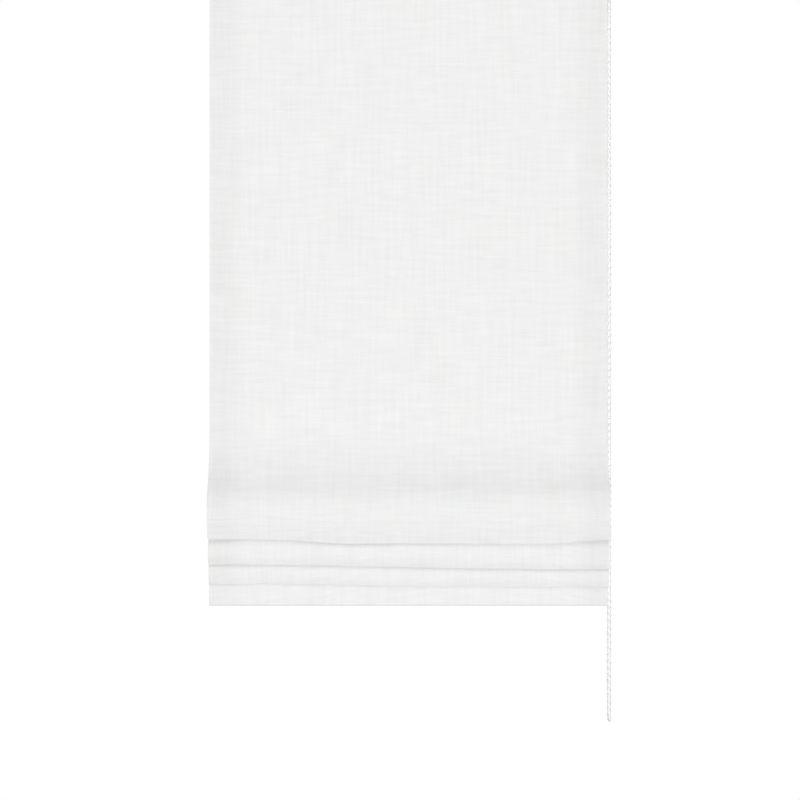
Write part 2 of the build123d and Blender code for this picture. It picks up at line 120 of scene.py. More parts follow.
# soft_edges rounds the normals of hard edges and masks them; the mask lightens edges, partly as rubbed
# paint and bright metal and partly as a painted highlight.
soft_edges, edges_in, edges_out = new_group(
    "soft_edges",
    [("Width", "NodeSocketFloat", 0.0005), ("Contrast", "NodeSocketFloat", 12.0)],
    [("Edge", "NodeSocketFloat"), ("Normal", "NodeSocketVector")],
)
rounded = add_node(soft_edges, "ShaderNodeBevel", {"Radius": edges_in.outputs["Width"]}, samples=6)
surface = add_node(soft_edges, "ShaderNodeNewGeometry")
facing = add_node(
    soft_edges,
    "ShaderNodeVectorMath",
    {0: rounded.outputs[0], 1: surface.outputs["Normal"]},
    operation="DOT_PRODUCT",
)
turned_away = maths(soft_edges, "SUBTRACT", 1.0, facing.outputs["Value"])
edge_wear_and_highlight = add_node(
    soft_edges,
    "ShaderNodeMath",
    {0: turned_away, 1: edges_in.outputs["Contrast"]},
    operation="MULTIPLY",
    use_clamp=True,
)
soft_edges.links.new(edge_wear_and_highlight.outputs[0], edges_out.inputs["Edge"])
soft_edges.links.new(rounded.outputs[0], edges_out.inputs["Normal"])

# grain is the fine texture of plating, powder coat and moulded plastic.
grain, grain_in, grain_out = new_group(
    "grain",
    [
        ("Size", "NodeSocketFloat", 0.0004),
        ("Stretch", "NodeSocketVector", (1.0, 1.0, 1.0)),
        ("Patch Size", "NodeSocketFloat", 0.02),
    ],
    [("Height", "NodeSocketFloat"), ("Patches", "NodeSocketFloat")],
)
place = add_node(grain, "ShaderNodeTexCoord")
stretched = add_node(
    grain,
    "ShaderNodeVectorMath",
    {0: place.outputs["Object"], 1: grain_in.outputs["Stretch"]},
    operation="DIVIDE",
)
per_metre = maths(grain, "DIVIDE", 1.0, grain_in.outputs["Size"])
specks = add_node(
    grain,
    "ShaderNodeTexNoise",
    {"Vector": stretched.outputs[0], "Scale": per_metre, "Detail": 3.0, "Roughness": 0.55},
)
patch_rate = maths(grain, "DIVIDE", 1.0, grain_in.outputs["Patch Size"])
patches = add_node(
    grain,
    "ShaderNodeTexNoise",
    {"Vector": place.outputs["Object"], "Scale": patch_rate, "Detail": 4.0, "Roughness": 0.6},
)
grain.links.new(specks.outputs["Fac"], grain_out.inputs["Height"])
grain.links.new(patches.outputs["Fac"], grain_out.inputs["Patches"])


def finish_solid(
    name, colour, wear_and_highlight_colour, roughness, metallic, size, depth, stretch=(1, 1, 1), patch=0.02, edge=0.0005
):
    """A rigid finish: two tones by patch, an edge made lighter partly by rubbed wear and partly by painted
    highlight, uneven roughness and a fine bump.
    """
    material, tree, shader = new_material(name)
    edges = place_group(tree, soft_edges, width=edge)
    texture = place_group(tree, grain, size=size, stretch=stretch, patch_size=patch)
    patchy = texture.outputs["Patches"]
    lively = mapped(tree, patchy, 0.3, 0.7, 0.94, 1.03)
    # Partly painted highlight: the edge mask mixes in the lighter edge colour, besides rubbed wear.
    base = add_node(
        tree,
        "ShaderNodeMix",
        {0: edges.outputs["Edge"], 6: (*colour, 1), 7: (*wear_and_highlight_colour, 1)},
        data_type="RGBA",
    )
    shade = add_node(
        tree,
        "ShaderNodeVectorMath",
        {0: base.outputs[2], "Scale": lively},
        operation="SCALE",
    )
    gloss = mapped(tree, patchy, 0.3, 0.7, roughness - 0.06, roughness + 0.06)
    bump = add_node(
        tree,
        "ShaderNodeBump",
        {"Height": texture.outputs["Height"], "Normal": edges.outputs["Normal"], "Distance": depth},
    )
    tree.links.new(shade.outputs[0], shader.inputs["Base Color"])
    tree.links.new(gloss, shader.inputs["Roughness"])
    tree.links.new(bump.outputs[0], shader.inputs["Normal"])
    shader.inputs["Metallic"].default_value = metallic
    return material


zinc = finish_solid(
    "zinc_plate",
    (0.52, 0.53, 0.55),
    (0.68, 0.69, 0.7),
    roughness=0.42,
    metallic=1.0,
    size=0.0006,
    depth=0.00002,
    patch=0.006,
)
dress(("bracket_left", "bracket_right"), zinc)

# Headrail: a white powder-coated aluminium extrusion, open below, with clip grooves along both
# walls and a sunk channel for the screw heads. Its coating has a light orange peel.
powder_coat = finish_solid(
    "white_powder_coat",
    (0.84, 0.84, 0.83),
    (0.88, 0.88, 0.87),
    roughness=0.42,
    metallic=0.0,
    size=0.0009,
    depth=0.00003,
    stretch=(4, 1, 1),
    patch=0.05,
)
dress(("headrail",), powder_coat)


# Grip tapes: woven hook tape glued along the rail and loop tape sewn to the cloth, so that the
# shade can be peeled off for washing.
grip_pile, pile_tree, pile_shader = new_material("grip_pile")
pile_place = add_node(pile_tree, "ShaderNodeTexCoord")
pile_cells = add_node(
    pile_tree,
    "ShaderNodeTexVoronoi",
    {"Vector": pile_place.outputs["Object"], "Scale": 900.0},
    feature="F1",
)
pile_fuzz = add_node(
    pile_tree,
    "ShaderNodeTexNoise",
    {"Vector": pile_place.outputs["Object"], "Scale": 2600.0, "Detail": 3.0},
)
# Painted shade: the pile is darker away from each tuft's centre, where the bump is low.
pile_painted_shade = mapped(pile_tree, pile_cells.outputs["Distance"], 0.0, 0.7, 0.86, 0.62)
pile_colour = add_node(
    pile_tree, "ShaderNodeCombineColor", {"Red": pile_painted_shade, "Green": pile_painted_shade, "Blue": pile_painted_shade}
)
pile_height = maths(pile_tree, "SUBTRACT", pile_fuzz.outputs["Fac"], pile_cells.outputs["Distance"])
pile_bump = add_node(pile_tree, "ShaderNodeBump", {"Height": pile_height, "Distance": 0.0005})
pile_tree.links.new(pile_colour.outputs[0], pile_shader.inputs["Base Color"])
pile_tree.links.new(pile_bump.outputs[0], pile_shader.inputs["Normal"])
pile_shader.inputs["Roughness"].default_value = 0.9
dress(("hook_tape", "loop_tape"), grip_pile)

# End cap, clutch shells and the bar's caps: white moulded plastic with a fine spark-eroded texture.
# Plugs push into the rail's ends, the clutch cover clips over the sprocket, the caps push on the bar.
moulded_white = finish_solid(
    "moulded_white",
    (0.84, 0.84, 0.825),
    (0.88, 0.88, 0.87),
    roughness=0.46,
    metallic=0.0,
    size=0.00035,
    depth=0.00002,
    patch=0.015,
)
dress(("end_cap", "clutch_housing", "clutch_cover"), moulded_white)
dress(("bar_cap_left", "bar_cap_right"), moulded_white)

# Drive: a square plated shaft from the end cap's bush to the sprocket, which turns on the clutch
# core. A close-wound steel spring grips the core and holds the load.
drawn_steel = finish_solid(
    "drawn_steel",
    (0.6, 0.61, 0.63),
    (0.75, 0.76, 0.77),
    roughness=0.3,
    metallic=1.0,
    size=0.0003,
    depth=0.000015,
    stretch=(60, 1, 1),
    patch=0.01,
)
acetal = finish_solid(
    "natural_acetal",
    (0.8, 0.8, 0.77),
    (0.84, 0.84, 0.81),
    roughness=0.38,
    metallic=0.0,
    size=0.0005,
    depth=0.000015,
    patch=0.01,
)
dress(("drive_shaft",), drawn_steel)
dress(("shaft_bush", "chain_sprocket", "spool_cradles"), acetal)


def link_object(name, data, material):
    """A new object of the shade, with its finish."""
    piece = bpy.data.objects.new(name, data)
    scene.collection.objects.link(piece)
    data.materials.append(material)
    return piece


def mesh_piece(name, points, faces, material, smooth=True):
    """A mesh object from points and faces, with its faces turned outwards."""
    data = bpy.data.meshes.new(name)
    data.from_pydata(points, [], faces)
    tidy = bmesh.new()
    tidy.from_mesh(data)
    bmesh.ops.recalc_face_normals(tidy, faces=tidy.faces)
    tidy.to_mesh(data)
    tidy.free()
    data.polygons.foreach_set("use_smooth", [smooth] * len(data.polygons))
    return link_object(name, data, material)


def curve_line(name, points, steps=12):
    """The points along a smooth curve laid over a route, as a list of places."""
    data = bpy.data.curves.new(name, "CURVE")
    data.dimensions = "3D"
    data.resolution_u = steps
    spline = data.splines.new("NURBS")
    spline.points.add(len(points) - 1)
    for knot, point in zip(spline.points, points):
        knot.co = (*point, 1)
    spline.order_u = 3
    spline.use_endpoint_u = True
    holder = bpy.data.objects.new(name, data)
    line = bpy.data.meshes.new_from_object(holder)
    places = [vertex.co.copy() for vertex in line.vertices]
    bpy.data.meshes.remove(line)
    bpy.data.objects.remove(holder)
    bpy.data.curves.remove(data)
    return places


def tube(places, radius, sides):
    """Points and faces of a round tube along a line, closed at both ends."""
    points, faces = [], []
    across = None
    for index, place in enumerate(places):
        before = places[max(index - 1, 0)]
        after = places[min(index + 1, len(places) - 1)]
        along = (after - before).normalized()
        if across is None:
            across = along.orthogonal().normalized()
        across = (across - along * across.dot(along)).normalized()
        other = along.cross(across)
        for side in range(sides):
            turn = 2 * math.pi * side / sides
            points.append(place + (across * math.cos(turn) + other * math.sin(turn)) * radius)
    for index in range(len(places) - 1):
        for side in range(sides):
            following = (side + 1) % sides
            a, b = index * sides, (index + 1) * sides
            faces.append((a + side, a + following, b + following, b + side))
    last = (len(places) - 1) * sides
    faces.append(tuple(range(sides)))
    faces.append(tuple(range(last, last + sides)))
    return points, faces


SHAFT_Y, SHAFT_Z = -0.0025, -0.0205
spring_low, spring_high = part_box("brake_spring")
SPRING_WIRE = 0.0006
SPRING_RADIUS = 0.0081
SPRING_TANG = 0.0021
SPRING_TURNS, SPRING_POINTS = 4, 24
spring_route = []
for step in range(SPRING_TURNS * SPRING_POINTS + 1):
    turn = step / SPRING_POINTS
    x = spring_low.x + SPRING_WIRE + (spring_high.x - spring_low.x - 2 * SPRING_WIRE) * turn / SPRING_TURNS
    angle = math.pi / 2 + 2 * math.pi * turn
    spring_route.append(
        Vector((x, SHAFT_Y + SPRING_RADIUS * math.cos(angle), SHAFT_Z + SPRING_RADIUS * math.sin(angle)))
    )
spring_route.insert(0, spring_route[0] + Vector((0, 0, SPRING_TANG)))
spring_line = curve_line("spring_route", spring_route, steps=2)
spring_points, spring_faces = tube(spring_line, SPRING_WIRE, 8)
spring = mesh_piece("brake_spring_coil", spring_points, spring_faces, drawn_steel)
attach(spring, "drive")
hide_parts("brake_spring")


# Lift spools: two turned acetal drums on the shaft, one above each lift line, carried in saddles on
# the rail's lips. The first turns of cord lie wound on each drum.
def turned(profile, centre, axis, sides=48):
    """Points and faces of a turned piece: profile pairs are (along the axis, radius)."""
    points, faces = [], []
    axis = Vector(axis)
    across = axis.orthogonal().normalized()
    other = axis.cross(across)
    for along, radius in profile:
        for side in range(sides):
            turn = 2 * math.pi * side / sides
            offset = (across * math.cos(turn) + other * math.sin(turn)) * radius
            points.append(Vector(centre) + axis * along + offset)
    for ring in range(len(profile) - 1):
        for side in range(sides):
            following = (side + 1) % sides
            a, b = ring * sides, (ring + 1) * sides
            faces.append((a + side, a + following, b + following, b + side))
    last = (len(profile) - 1) * sides
    faces.append(tuple(range(sides)))
    faces.append(tuple(range(last, last + sides)))
    return points, faces


LIFT_X = 0.230
DRUM_RADIUS, FLANGE_RADIUS, JOURNAL_RADIUS = 0.009, 0.012, 0.006
DRUM_HALF, FLANGE_HALF, JOURNAL_HALF = 0.011, 0.0125, 0.0155
BORE_RADIUS, EDGE = 0.0045, 0.0004
spool_profile = [
    (-JOURNAL_HALF, BORE_RADIUS),
    (-JOURNAL_HALF, JOURNAL_RADIUS - EDGE),
    (-JOURNAL_HALF + EDGE, JOURNAL_RADIUS),
    (-FLANGE_HALF, JOURNAL_RADIUS),
    (-FLANGE_HALF, FLANGE_RADIUS - EDGE),
    (-FLANGE_HALF + EDGE, FLANGE_RADIUS),
    (-DRUM_HALF - EDGE, FLANGE_RADIUS),
    (-DRUM_HALF, FLANGE_RADIUS - EDGE),
    (-DRUM_HALF, DRUM_RADIUS),
]
spool_profile += [(-along, radius) for along, radius in reversed(spool_profile)]
CORD_RADIUS = 0.0007
for side, x in (("left", -LIFT_X), ("right", LIFT_X)):
    spool_points, spool_faces = turned(spool_profile, (x, SHAFT_Y, SHAFT_Z), (1, 0, 0))
    spool = mesh_piece(f"lift_spool_{side}", spool_points, spool_faces, acetal)
    spool.data.set_sharp_from_angle(angle=math.radians(35))
    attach(spool, "drive")
    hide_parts("lift_spools")

# Lift cords: braided polyester, wound on the spools, led down the back of the shade through the
# loops of each rib, and knotted into the cord stops under the lowest rib.
braid, braid_in, braid_out = new_group(
    "braid",
    [
        ("Pitch", "NodeSocketFloat", 0.0022),
        ("Strands", "NodeSocketFloat", 4.0),
        ("Centre", "NodeSocketVector", (0, 0, 0)),
    ],
    [("Height", "NodeSocketFloat"), ("Tone", "NodeSocketFloat")],
)
braid_place = add_node(braid, "ShaderNodeTexCoord")
braid_local = add_node(
    braid,
    "ShaderNodeVectorMath",
    {0: braid_place.outputs["Object"], 1: braid_in.outputs["Centre"]},
    operation="SUBTRACT",
)
braid_axes = add_node(braid, "ShaderNodeSeparateXYZ", {0: braid_local.outputs[0]})
braid_angle = maths(braid, "ARCTAN2", braid_axes.outputs["Y"], braid_axes.outputs["X"])
braid_turn = maths(braid, "MULTIPLY", braid_angle, braid_in.outputs["Strands"])
braid_climb = maths(braid, "DIVIDE", braid_axes.outputs["Z"], braid_in.outputs["Pitch"])
braid_climb_turn = maths(braid, "MULTIPLY", braid_climb, 2 * math.pi)
right_hand = maths(braid, "ADD", braid_climb_turn, braid_turn)
left_hand = maths(braid, "SUBTRACT", braid_climb_turn, braid_turn)
right_wave = maths(braid, "SINE", right_hand)
left_wave = maths(braid, "SINE", left_hand)
braid_height = maths(braid, "MAXIMUM", right_wave, left_wave)
braid.links.new(braid_height, braid_out.inputs["Height"])
# Painted shade: the Tone darkens the cord where the braid height is low, in the grooves between strands.
braid.links.new(mapped(braid, braid_height, -0.5, 1.0, 0.74, 1.0), braid_out.inputs["Tone"])


def braided(name, colour, centre):
    """Braided cord running upright at a centre."""
    material, tree, shader = new_material(name)
    pattern = place_group(tree, braid, centre=centre)
    # The braid's Tone scales the cord colour, painting shade into its grooves.
    tone = add_node(
        tree, "ShaderNodeVectorMath", {0: colour, "Scale": pattern.outputs["Tone"]}, operation="SCALE"
    )
    bump = add_node(tree, "ShaderNodeBump", {"Height": pattern.outputs["Height"], "Distance": 0.00012})
    tree.links.new(tone.outputs[0], shader.inputs["Base Color"])
    tree.links.new(bump.outputs[0], shader.inputs["Normal"])
    shader.inputs["Roughness"].default_value = 0.7
    shader.inputs["Sheen Weight"].default_value = 0.2
    return material


CORD_COLOUR = (0.86, 0.86, 0.85)
CORD_Y = -0.0125
CORD_MIDDLE = -0.4
WOUND_PITCH, WOUND_SQUEEZE = 2.1 * CORD_RADIUS, 0.95
WOUND_TURNS, TURN_POINTS = 8, 16
WOUND_RADIUS = (DRUM_RADIUS + CORD_RADIUS) / math.cos(math.pi / TURN_POINTS)
for side, x in (("left", -LIFT_X), ("right", LIFT_X)):
    cord_material = braided(f"lift_cord_braid_{side}", CORD_COLOUR, (x, CORD_Y, 0))
    low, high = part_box(f"lift_cord_{side}")
    cord_route = [(x, CORD_Y, z) for z in (high.z, CORD_MIDDLE, low.z)]
    cord_line = curve_line(f"lift_cord_route_{side}", cord_route)
    cord_points, cord_faces = tube(cord_line, CORD_RADIUS, 12)
    lift_cord = mesh_piece(f"lift_cord_{side}_braid", cord_points, cord_faces, cord_material)
    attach(lift_cord, "headrail")
    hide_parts(f"lift_cord_{side}")
    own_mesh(lift_cord)
    wound_route = []
    for step in range(WOUND_TURNS * TURN_POINTS + 1):
        turn = step / TURN_POINTS
        angle = math.pi + 2 * math.pi * turn
        wound_route.append(
            (
                x + WOUND_PITCH * turn,
                SHAFT_Y + WOUND_RADIUS * math.cos(angle),
                SHAFT_Z + WOUND_RADIUS * math.sin(angle),
            )
        )
    wound_line = curve_line(f"wound_route_{side}", wound_route, steps=3)
    wound_points, wound_faces = tube(wound_line, CORD_RADIUS * WOUND_SQUEEZE, 8)
    wound = mesh_piece(f"wound_cord_{side}", wound_points, wound_faces, cord_material)
    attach(wound, "drive")

# Bead chain: glossy white beads moulded every 12 mm on a polyester string. The loop runs over the
# sprocket inside the clutch cover and hangs free beside the cloth.
BEAD_PITCH, BEAD_RADIUS, STRING_RADIUS = 0.012, 0.00225, 0.0006
COLLAR_START, COLLAR_END = 0.0021, 0.00245
COLLAR_RADIUS, COLLAR_END_RADIUS = 0.00095, 0.00085
SPROCKET_POCKETS, STRAND_BEADS = 8, 108
CHAIN_X = 0.355
CHAIN_RADIUS = SPROCKET_POCKETS * BEAD_PITCH / (2 * math.pi)
CHAIN_FRONT, CHAIN_REAR = SHAFT_Y - CHAIN_RADIUS, SHAFT_Y + CHAIN_RADIUS
LOOP_BOTTOM = SHAFT_Z - STRAND_BEADS * BEAD_PITCH - CHAIN_RADIUS
chain_white = finish_solid(
    "chain_white",
    (0.87, 0.87, 0.86),
    (0.89, 0.89, 0.88),
    roughness=0.24,
    metallic=0.0,
    size=0.0011,
    depth=0.00001,
    patch=0.004,
    edge=0.0002,
)
string_white, string_tree, string_shader = new_material("chain_string")
string_place = add_node(string_tree, "ShaderNodeTexCoord")
string_twist = add_node(
    string_tree,
    "ShaderNodeTexWave",
    {"Vector": string_place.outputs["Object"], "Scale": 420.0, "Distortion": 1.5},
    bands_direction="DIAGONAL",
)
# Painted shade: the string is darker where the twist's bump is low, in its grooves.
string_painted_shade = add_node(
    string_tree,
    "ShaderNodeMix",
    {0: string_twist.outputs["Fac"], 6: (0.72, 0.72, 0.7, 1), 7: (0.86, 0.86, 0.85, 1)},
    data_type="RGBA",
)
string_bump = add_node(
    string_tree, "ShaderNodeBump", {"Height": string_twist.outputs["Fac"], "Distance": 0.0002}
)
string_tree.links.new(string_painted_shade.outputs[2], string_shader.inputs["Base Color"])
string_tree.links.new(string_bump.outputs[0], string_shader.inputs["Normal"])
string_shader.inputs["Roughness"].default_value = 0.75


def bead(centre, along):
    """Points and faces of one bead: a ball with a small collar round the string at each end."""
    profile = [(-COLLAR_END, COLLAR_END_RADIUS), (-COLLAR_START, COLLAR_RADIUS)]
    for step in range(1, 10):
        angle = math.pi * step / 10
        profile.append((-BEAD_RADIUS * math.cos(angle), max(COLLAR_RADIUS, BEAD_RADIUS * math.sin(angle))))
    profile += [(COLLAR_START, COLLAR_RADIUS), (COLLAR_END, COLLAR_END_RADIUS)]
    return turned(profile, centre, along, sides=14)


def beads_along(places, start):
    """Points and faces of beads a pitch apart along a line."""
    points, faces = [], []
    wanted, passed = start, 0.0
    for here, there in zip(places, places[1:]):
        step = (there - here).length
        while step > 0 and wanted <= passed + step:
            along = (there - here).normalized()
            bead_points, bead_faces = bead(here + along * (wanted - passed), along)
            first = len(points)
            points += bead_points
            faces += [tuple(first + corner for corner in face) for face in bead_faces]
            wanted += BEAD_PITCH
        passed += step
    return points, faces


loop_side = 2 * CHAIN_RADIUS
chain_route = [
    (CHAIN_X, CHAIN_FRONT, SHAFT_Z),
    (CHAIN_X, CHAIN_FRONT, LOOP_BOTTOM + loop_side),
    (CHAIN_X, CHAIN_FRONT, LOOP_BOTTOM),
    (CHAIN_X, CHAIN_REAR, LOOP_BOTTOM),
    (CHAIN_X, CHAIN_REAR, LOOP_BOTTOM + loop_side),
    (CHAIN_X, CHAIN_REAR, SHAFT_Z),
]
chain_line = curve_line("chain_route", chain_route)
string_points, string_faces = tube(chain_line, STRING_RADIUS, 10)
chain_string = mesh_piece("chain_string", string_points, string_faces, string_white)
bead_points, bead_faces = beads_along(chain_line, BEAD_PITCH / 2)
chain_beads = mesh_piece("chain_beads", bead_points, bead_faces, chain_white)
over_corner = CHAIN_RADIUS * math.tan(math.pi / 8)
over_route = [
    (CHAIN_X, CHAIN_REAR, SHAFT_Z),
    (CHAIN_X, CHAIN_REAR, SHAFT_Z + over_corner),
    (CHAIN_X, SHAFT_Y + over_corner, SHAFT_Z + CHAIN_RADIUS),
    (CHAIN_X, SHAFT_Y - over_corner, SHAFT_Z + CHAIN_RADIUS),
    (CHAIN_X, CHAIN_FRONT, SHAFT_Z + over_corner),
    (CHAIN_X, CHAIN_FRONT, SHAFT_Z),
]
over_line = curve_line("sprocket_route", over_route)
over_points, over_faces = tube(over_line, STRING_RADIUS, 10)
over_string = mesh_piece("sprocket_string", over_points, over_faces, string_white)
over_bead_points, over_bead_faces = beads_along(over_line, BEAD_PITCH / 2)
over_beads = mesh_piece("sprocket_beads", over_bead_points, over_bead_faces, chain_white)
for piece in (chain_string, chain_beads, over_string, over_beads):
    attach(piece, "headrail")
    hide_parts("bead_chain")

# Shade cloth: one sheet of slubby off-white linen, hung from the loop tape. It leans forward over the
# gathered ribs, drops in three folds, and ends in a pocket that holds the bottom bar.
CLOTH_Y, CLOTH_HALF, CLOTH_THICK = -0.0204, 0.350, 0.0008
HEAD_Z, PANEL_Z = -0.048, -0.852
SIDE_HEM_WIDTH, SIDE_HEM_INSET = 0.050, 0.001
SIDE_HEM_MIDDLE, SIDE_HEM_THICK = 0.00054, 0.00026
HEM_PAINTED_SHADE_WIDTH = 0.066
LINEN, WARM_LINEN = (0.884, 0.884, 0.887), (0.888, 0.884, 0.879)

weave, weave_in, weave_out = new_group(
    "linen_weave",
    [
        ("Yarn", "NodeSocketFloat", 0.0008),
        ("Slubs", "NodeSocketFloat", 1.0),
        ("Place", "NodeSocketVector", (0, 0, 0)),
    ],
    [("Tone", "NodeSocketFloat"), ("Height", "NodeSocketFloat"), ("Warmth", "NodeSocketFloat")],
)
weave_place = weave_in.outputs["Place"]


def streaks(width, length, upright, detail=2.0):
    """Noise drawn out along the warp (upright) or along the weft."""
    scale = (1 / width, 1 / length, 1) if upright else (1 / length, 1 / width, 1)
    spread = add_node(weave, "ShaderNodeVectorMath", {0: weave_place, 1: scale}, operation="MULTIPLY")
    return add_node(
        weave,
        "ShaderNodeTexNoise",
        {"Vector": spread.outputs[0], "Scale": 1.0, "Detail": detail, "Roughness": 0.6},
    ).outputs["Fac"]


def weave_sum(a, b, operation="ADD"):
    """The sum of two values of the weave, or another operation on them."""
    return maths(weave, operation, a, b)


def weave_range(value, low, high, to_low, to_high):
    """A value of the weave scaled from one range to another."""
    return mapped(weave, value, low, high, to_low, to_high)


warp_tone = weave_range(streaks(0.006, 0.14, True), 0.25, 0.75, -0.022, 0.022)
weft_tone = weave_range(streaks(0.0019, 0.045, False), 0.25, 0.75, -0.021, 0.021)
band_tone = weave_range(streaks(0.0075, 0.075, False), 0.25, 0.75, -0.024, 0.024)
cloud_tone = weave_range(streaks(0.045, 0.055, True), 0.25, 0.75, -0.012, 0.012)
thick_slub = weave_range(streaks(0.003, 0.06, False, 1.0), 0.64, 0.78, 0.0, 0.035)
thick_warp = weave_range(streaks(0.0028, 0.09, True, 1.0), 0.64, 0.78, 0.0, 0.03)
yarn_sum = weave_sum(weave_sum(warp_tone, weft_tone), weave_sum(band_tone, cloud_tone))
slub_sum = weave_sum(yarn_sum, weave_sum(thick_slub, thick_warp))
slub_part = weave_sum(slub_sum, weave_in.outputs["Slubs"], "MULTIPLY")
tone = weave_sum(slub_part, 1.0)
yarn_rate = weave_sum(2 * math.pi, weave_in.outputs["Yarn"], "DIVIDE")
weave_axes = add_node(weave, "ShaderNodeSeparateXYZ", {0: weave_place})
yarn_wander = weave_range(streaks(0.004, 0.02, True), 0.0, 1.0, -2.5, 2.5)
warp_turn = weave_sum(weave_sum(weave_axes.outputs["X"], yarn_rate, "MULTIPLY"), yarn_wander)
weft_turn = weave_sum(weave_sum(weave_axes.outputs["Y"], yarn_rate, "MULTIPLY"), yarn_wander)
crossing = weave_sum(maths(weave, "SINE", warp_turn), maths(weave, "SINE", weft_turn), "MULTIPLY")
raised = weave_sum(weave_range(crossing, -1.0, 1.0, 0.0, 1.0), weave_range(slub_sum, -0.05, 0.08, 0.0, 1.5))
weave.links.new(tone, weave_out.inputs["Tone"])
weave.links.new(raised, weave_out.inputs["Height"])
warmth = weave_range(streaks(0.12, 0.18, True, 3.0), 0.4, 0.7, 0.0, 1.0)
weave.links.new(warmth, weave_out.inputs["Warmth"])

linen, linen_tree, linen_shader = new_material("linen")
cloth_place = add_node(linen_tree, "ShaderNodeUVMap", uv_map="cloth")
linen_weave = place_group(linen_tree, weave, place=cloth_place.outputs[0])
cloth_axes = add_node(linen_tree, "ShaderNodeSeparateXYZ", {0: cloth_place.outputs[0]})
from_middle = maths(linen_tree, "ABSOLUTE", cloth_axes.outputs["X"])
# Painted shade: a soft band along each side hem, where the cloth lies double, is darkened to stand in for
# back light that passes less through two layers.
hem_across = mapped(linen_tree, from_middle, CLOTH_HALF - HEM_PAINTED_SHADE_WIDTH, CLOTH_HALF, 0.0, 1.0)
hem_painted_shade = add_node(linen_tree, "ShaderNodeValToRGB", {0: hem_across})
ramp = hem_painted_shade.color_ramp
ramp.interpolation = "B_SPLINE"
for position, level in ((0.2, 0.985), (0.5, 0.955), (0.8, 0.958)):
    ramp.elements.new(position).color = (level, level, level, 1)
ramp.elements[0].color = (1, 1, 1, 1)
ramp.elements[-1].color = (0.975, 0.975, 0.975, 1)
linen_base = add_node(
    linen_tree,
    "ShaderNodeMix",
    {0: linen_weave.outputs["Warmth"], 6: (*LINEN, 1), 7: (*WARM_LINEN, 1)},
    data_type="RGBA",
)
linen_with_painted_hem_shade = add_node(
    linen_tree,
    "ShaderNodeVectorMath",
    {0: linen_base.outputs[2], 1: hem_painted_shade.outputs[0]},
    operation="MULTIPLY",
)
linen_tone = add_node(
    linen_tree,
    "ShaderNodeVectorMath",
    {0: linen_with_painted_hem_shade.outputs[0], "Scale": linen_weave.outputs["Tone"]},
    operation="SCALE",
)
linen_bump = add_node(
    linen_tree, "ShaderNodeBump", {"Height": linen_weave.outputs["Height"], "Distance": 0.00012}
)
linen_tree.links.new(linen_tone.outputs[0], linen_shader.inputs["Base Color"])
linen_tree.links.new(linen_bump.outputs[0], linen_shader.inputs["Normal"])
linen_shader.inputs["Roughness"].default_value = 0.92
linen_shader.inputs["Specular IOR Level"].default_value = 0.15
linen_shader.inputs["Sheen Weight"].default_value = 0.04


def ease(low, high, value):
    """A smooth step from 0 at low to 1 at high."""
    share = min(max((value - low) / (high - low), 0.0), 1.0)
    return share * share * (3 - 2 * share)


def ripple(x, seed, wave):
    """A small seeded unevenness along the shade's width, from about -1 to 1."""
    return noise.noise(Vector((x / wave, seed * 7.31, 0.5)))


SHEET_TOP = -0.003
LEAN_TOP, LEAN_TOP_RADIUS = -0.864, 0.2405
LEAN_END, LEAN_END_RADIUS = -0.936, 0.0940
FOLD_FRONTS = (-0.0560, -0.0422, -0.0342)
FOLD_BOTTOMS = (-1.0110, -1.0555, -1.0885)
FOLD_WIDTHS = (0.0160, 0.0086, 0.0072)
FOLD_BACKSETS = (0.0128, 0.0056, 0.0045)
FOLD_BELLIES = (0.052, 0.022, 0.019)
FOLD_CURLS = (1.8, 2.2, 2.2)
FOLD_RECESSES = (0.0, 0.0070, 0.0057)
BELLY_TOP = -0.9592
EDGE_LONG_WAVE, EDGE_SHORT_WAVE = 0.0009, 0.0006
FRONT_WAVE, INNER_WAVE, SIDE_STIFFNESS, TURN_SLACK = 0.0005, 0.0006, 0.3, 0.0002
STACK_TURNS = (-0.868, -0.884, -0.900)
FAN_Z = -0.915
FAN_FRONTS, FAN_BACKS = (-0.0400, -0.0335, -0.0270), (-0.0370, -0.0305, -0.0240)
PLEAT_FRONT, PLEAT_MIDDLE, PLEAT_TURN, PLEAT_FOOT = 0.0042, 0.0021, 0.0018, 0.007
PLEAT_LEAVES, PLEAT_LEAVES_BELOW = 0.0062, 0.013
TUCK, TUCK_RUN = 0.004, 0.02
HEM_FRONT, HEM_BACK, HEM_BOTTOM, HEM_RADIUS = -0.0260, -0.0200, -1.1248, 0.0028
HEM_TOP, HEM_TOP_SET = -1.0955, 0.0030
HEM_SEAM, HEM_END, HEM_END_SET = -1.0918, -1.0858, 0.0044


def fold_bottom(level, x):
    """Where a fold's lower edge hangs: each one runs slightly out of level."""
    u = x / CLOTH_HALF
    drift = (
        0.0045 - 0.0075 * ease(-0.75, -0.25, u) * (1 - ease(0.72, 1.0, u)),
        0.0038 - 0.0076 * ease(-0.8, 0.7, u),
        0.0026 - 0.0052 * ease(-0.7, 0.5, u),
    )[level]
    long_wave = EDGE_LONG_WAVE * ripple(x, level + 1, 0.09)
    short_wave = EDGE_SHORT_WAVE * ripple(x, level + 5, 0.035)
    return FOLD_BOTTOMS[level] + drift + long_wave + short_wave


def swell(start, end, steps, curl=2.0):
    """Corners of a soft quarter wave that leaves its start upright and leans towards its end."""
    across, down = end[0] - start[0], end[1] - start[1]
    shares = [step / steps for step in range(steps)]
    return [(start[0] + across * share**curl, start[1] + down * share, 0) for share in shares]


